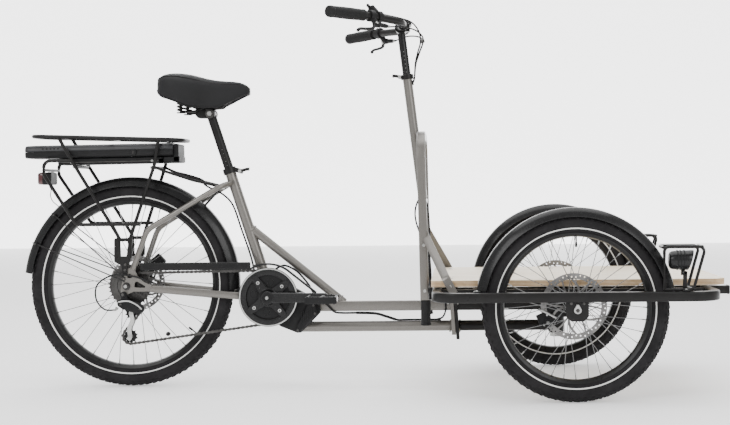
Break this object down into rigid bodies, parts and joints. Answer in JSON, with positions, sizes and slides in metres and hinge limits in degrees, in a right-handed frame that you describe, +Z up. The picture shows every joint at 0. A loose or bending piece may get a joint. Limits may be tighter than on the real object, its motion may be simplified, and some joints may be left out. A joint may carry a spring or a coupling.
{
  "type": "cargo tricycle",
  "caption": "Electric cargo tricycle: flat plywood load platform between the front wheels, steering column on a hoop, mid motor, chain drive and a rear rack with a battery.",
  "frame": {"origin": "on the ground under the middle of the tricycle", "axes": "+X forwards towards the load platform, +Y to the rider's left, +Z up"},
  "size_m": [2.0306, 0.846, 1.0949],
  "materials": {
    "frame_paint": "satin warm grey metallic paint",
    "black_paint": "satin black",
    "tyre": "matt rubber with a pale side stripe",
    "grip": "matt rubber",
    "steel": "plain",
    "black_plastic": "matt",
    "alloy": "satin",
    "wood": "clear-coated birch plywood",
    "vinyl": "black vinyl",
    "red_lens": "gloss"
  },
  "bodies": {
    "frame": {"main_frame": "frame_paint", "front_spine": "black_paint", "steering_pin": "steel", "motor_housing": "black_plastic", "chain": "steel", "derailleur_cage": "alloy", "derailleur_body": "black_plastic", "rear_mudguard": "black_plastic", "rear_rack": "black_paint", "battery_dock": "black_plastic", "tail_light": "red_lens", "seat_clamp": "black_paint", "rear_caliper": "black_paint", "chain_guard": "black_plastic", "derailleur_cable": "black_plastic", "motor_cable": "black_plastic"},
    "platform": {"platform_frame": "black_paint", "deck": "wood", "hoop": "frame_paint", "steering_column": "frame_paint", "column_clamp": "black_paint", "front_mudguard_right": "black_plastic", "front_mudguard_left": "black_plastic", "lamp_cage_right": "black_paint", "lamp_cage_left": "black_paint", "front_caliper_right": "black_paint", "front_caliper_left": "black_paint"},
    "bars": {"stem": "black_paint", "handlebar": "black_paint", "grip_right": "grip", "grip_left": "grip", "display": "black_plastic"},
    "brake_lever_right": {"brake_lever_right": "black_paint"},
    "brake_lever_left": {"brake_lever_left": "black_paint"},
    "shifter_lever": {"shifter_lever": "black_paint"},
    "column_clamp_lever": {"column_clamp_lever": "alloy"},
    "seat": {"seatpost": "black_paint", "saddle_frame": "black_plastic", "saddle_pad": "vinyl"},
    "seat_clamp_lever": {"seat_clamp_lever": "alloy"},
    "battery": {"battery_pack": "black_plastic"},
    "crank": {"crank_right": "black_plastic", "crank_left": "black_plastic", "chainring": "black_plastic"},
    "pedal_right": {"pedal_right": "black_plastic"},
    "pedal_left": {"pedal_left": "black_plastic"},
    "cassette": {"cassette": "steel"},
    "rear_wheel": {"rear_wheel": "steel", "rear_tyre": "tyre", "rear_disc": "steel"},
    "jockey_upper": {"jockey_upper": "black_plastic"},
    "jockey_lower": {"jockey_lower": "black_plastic"},
    "front_wheel_right": {"front_right_wheel": "steel", "front_right_tyre": "tyre", "front_disc_right": "steel"},
    "front_wheel_left": {"front_left_wheel": "steel", "front_left_tyre": "tyre", "front_disc_left": "steel"},
    "headlamp_right": {"headlamp_right": "black_plastic"},
    "headlamp_left": {"headlamp_left": "black_plastic"}
  },
  "joints": [
    {"name": "steer", "type": "hinge", "parent": "frame", "child": "platform", "pos_m": [0.54, 0, 0.2685], "axis": [0, 0, 1], "range_deg": [-18, 18]},
    {"name": "rear_wheel_spin", "type": "hinge", "parent": "frame", "child": "rear_wheel", "pos_m": [-0.7085, 0, 0.299], "axis": [0, 1, 0], "continuous": true},
    {"name": "front_wheel_right_spin", "type": "hinge", "parent": "platform", "child": "front_wheel_right", "pos_m": [0.5645, -0.35, 0.2525], "axis": [0, 1, 0], "continuous": true},
    {"name": "front_wheel_left_spin", "type": "hinge", "parent": "platform", "child": "front_wheel_left", "pos_m": [0.5645, 0.35, 0.2525], "axis": [0, 1, 0], "continuous": true},
    {"name": "crank_spin", "type": "hinge", "parent": "frame", "child": "crank", "pos_m": [-0.3, 0, 0.263], "axis": [0, 1, 0], "continuous": true},
    {"name": "pedal_right_spin", "type": "hinge", "parent": "crank", "child": "pedal_right", "pos_m": [-0.135, -0.0955, 0.263], "axis": [0, 1, 0], "continuous": true},
    {"name": "pedal_left_spin", "type": "hinge", "parent": "crank", "child": "pedal_left", "pos_m": [-0.465, 0.0955, 0.263], "axis": [0, 1, 0], "continuous": true},
    {"name": "cassette_spin", "type": "hinge", "parent": "frame", "child": "cassette", "pos_m": [-0.7085, -0.05, 0.299], "axis": [0, 1, 0], "continuous": true},
    {"name": "jockey_upper_spin", "type": "hinge", "parent": "frame", "child": "jockey_upper", "pos_m": [-0.7, -0.05, 0.2205], "axis": [0, 1, 0], "continuous": true},
    {"name": "jockey_lower_spin", "type": "hinge", "parent": "frame", "child": "jockey_lower", "pos_m": [-0.7035, -0.05, 0.152], "axis": [0, 1, 0], "continuous": true},
    {"name": "seat_height", "type": "slide", "parent": "frame", "child": "seat", "axis": [-0.309, 0, 0.9511], "range_m": [-0.06, 0.08]},
    {"name": "bar_height", "type": "slide", "parent": "platform", "child": "bars", "axis": [-0.1209, 0, 0.9927], "range_m": [-0.05, 0.06]},
    {"name": "seat_clamp_lever_turn", "type": "hinge", "parent": "frame", "child": "seat_clamp_lever", "pos_m": [-0.3877, -0.016, 0.6308], "axis": [0, 1, 0], "range_deg": [0, 100]},
    {"name": "column_clamp_lever_turn", "type": "hinge", "parent": "platform", "child": "column_clamp_lever", "pos_m": [0.084, -0.015, 0.9045], "axis": [0, 1, 0], "range_deg": [-100, 0]},
    {"name": "battery_slide", "type": "slide", "parent": "frame", "child": "battery", "axis": [-0.9999, 0, 0.014], "range_m": [0, 0.3]},
    {"name": "headlamp_right_tilt", "type": "hinge", "parent": "platform", "child": "headlamp_right", "pos_m": [0.8505, -0.378, 0.346], "axis": [0, 1, 0], "range_deg": [-8, 12]},
    {"name": "headlamp_left_tilt", "type": "hinge", "parent": "platform", "child": "headlamp_left", "pos_m": [0.8505, 0.378, 0.346], "axis": [0, 1, 0], "range_deg": [-8, 12]},
    {"name": "brake_lever_right_pull", "type": "hinge", "parent": "bars", "child": "brake_lever_right", "pos_m": [0.02676, -0.20672, 1.0338], "axis": [-0.6168, 0.556, -0.5571], "range_deg": [0, 20], "stiffness_Nm_per_rad": 1.5, "springref_deg": -14.32},
    {"name": "brake_lever_left_pull", "type": "hinge", "parent": "bars", "child": "brake_lever_left", "pos_m": [0.02676, 0.20672, 1.0338], "axis": [0.6168, 0.556, 0.5571], "range_deg": [0, 20], "stiffness_Nm_per_rad": 1.5, "springref_deg": -14.32},
    {"name": "shifter_turn", "type": "hinge", "parent": "bars", "child": "shifter_lever", "pos_m": [0.01726, -0.16729, 1.07982], "axis": [-0.6082, 0.2281, 0.7603], "range_deg": [-30, 30]}
  ],
  "couplings": [
    {"joint": "cassette_spin", "follows": "crank_spin", "ratio": 2.1111},
    {"joint": "jockey_upper_spin", "follows": "crank_spin", "ratio": -3.733},
    {"joint": "jockey_lower_spin", "follows": "crank_spin", "ratio": 3.418}
  ]
}
